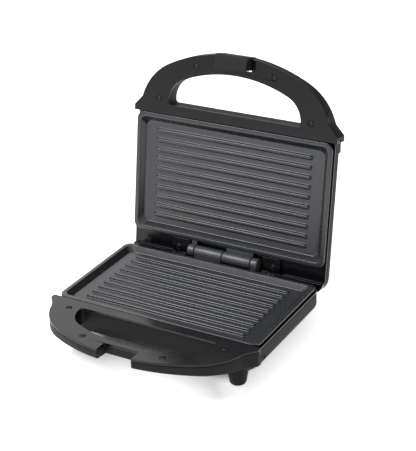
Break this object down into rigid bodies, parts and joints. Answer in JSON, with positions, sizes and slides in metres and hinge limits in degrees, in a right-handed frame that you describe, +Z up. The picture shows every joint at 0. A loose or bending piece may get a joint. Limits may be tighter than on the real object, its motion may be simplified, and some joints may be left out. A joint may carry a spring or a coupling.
{
  "type": "panini press",
  "caption": "Two-plate panini press with ribbed cooking plates, hinged lid, arched carrying handles and a snap latch.",
  "frame": {"origin": "on the floor under the feet, in the middle of the footprint of the open press", "axes": "+Z up, +Y towards the hinge and the back, +X to the right seen from the handle"},
  "size_m": [0.2258, 0.2579, 0.2503],
  "materials": {
    "black_plastic": "moulded black plastic with a fine satin grain",
    "gloss_black_plastic": "polished black plastic face",
    "coated_aluminium": "cast aluminium with a dark grey speckled non-stick coating",
    "bright_steel": "plain steel pin",
    "dark_steel": "blackened steel screw",
    "element_steel": "drawn steel heater sheath",
    "sheet_steel": "aluminised sheet steel",
    "black_rubber": "soft black rubber",
    "woven_sleeve": "woven glass-fibre sleeve",
    "lamp_glass": "small neon lamp glass",
    "red_lens": "clear red plastic lens",
    "green_lens": "clear green plastic lens",
    "white_ceramic": "unglazed white ceramic"
  },
  "bodies": {
    "base": {"base_bezel": "gloss_black_plastic", "base_lead": "woven_sleeve", "base_screw_inner_left": "dark_steel", "base_screw_inner_right": "dark_steel", "base_screw_outer_left": "dark_steel", "base_screw_outer_right": "dark_steel", "base_screw_rear_left": "dark_steel", "base_screw_rear_right": "dark_steel", "base_shell": "black_plastic", "cord_gland": "black_rubber", "foot_pad_front_left": "black_rubber", "foot_pad_front_right": "black_rubber", "foot_pad_rear_left": "black_rubber", "foot_pad_rear_right": "black_rubber", "hinge_pin": "bright_steel", "lower_grill_plate": "coated_aluminium", "lower_heating_element": "element_steel", "lower_plate_screw_left": "dark_steel", "lower_plate_screw_right": "dark_steel", "lower_reflector": "sheet_steel", "terminal_block": "white_ceramic", "thermostat": "sheet_steel"},
    "lid": {"fuse_clamp": "sheet_steel", "lamp_holder": "black_plastic", "latch_pin": "bright_steel", "lid_bezel": "gloss_black_plastic", "lid_lead": "woven_sleeve", "lid_screw_inner_left": "dark_steel", "lid_screw_inner_right": "dark_steel", "lid_screw_outer_left": "dark_steel", "lid_screw_outer_right": "dark_steel", "lid_screw_rear_left": "dark_steel", "lid_screw_rear_right": "dark_steel", "lid_shell": "black_plastic", "power_lamp": "lamp_glass", "power_lens": "red_lens", "ready_lamp": "lamp_glass", "ready_lens": "green_lens", "thermal_fuse": "woven_sleeve", "upper_grill_plate": "coated_aluminium", "upper_heating_element": "element_steel", "upper_plate_screw_left": "dark_steel", "upper_plate_screw_right": "dark_steel", "upper_reflector": "sheet_steel"},
    "latch": {"latch_clip": "black_plastic"}
  },
  "joints": [
    {"name": "lid_hinge", "type": "hinge", "parent": "base", "child": "lid", "pos_m": [0, 0.0758, 0.046], "axis": [1, 0, 0], "range_deg": [0, 99.5]},
    {"name": "latch_swing", "type": "hinge", "parent": "lid", "child": "latch", "pos_m": [0, 0.117, 0.24067], "axis": [1, 0, 0], "range_deg": [-12, 8]}
  ]
}
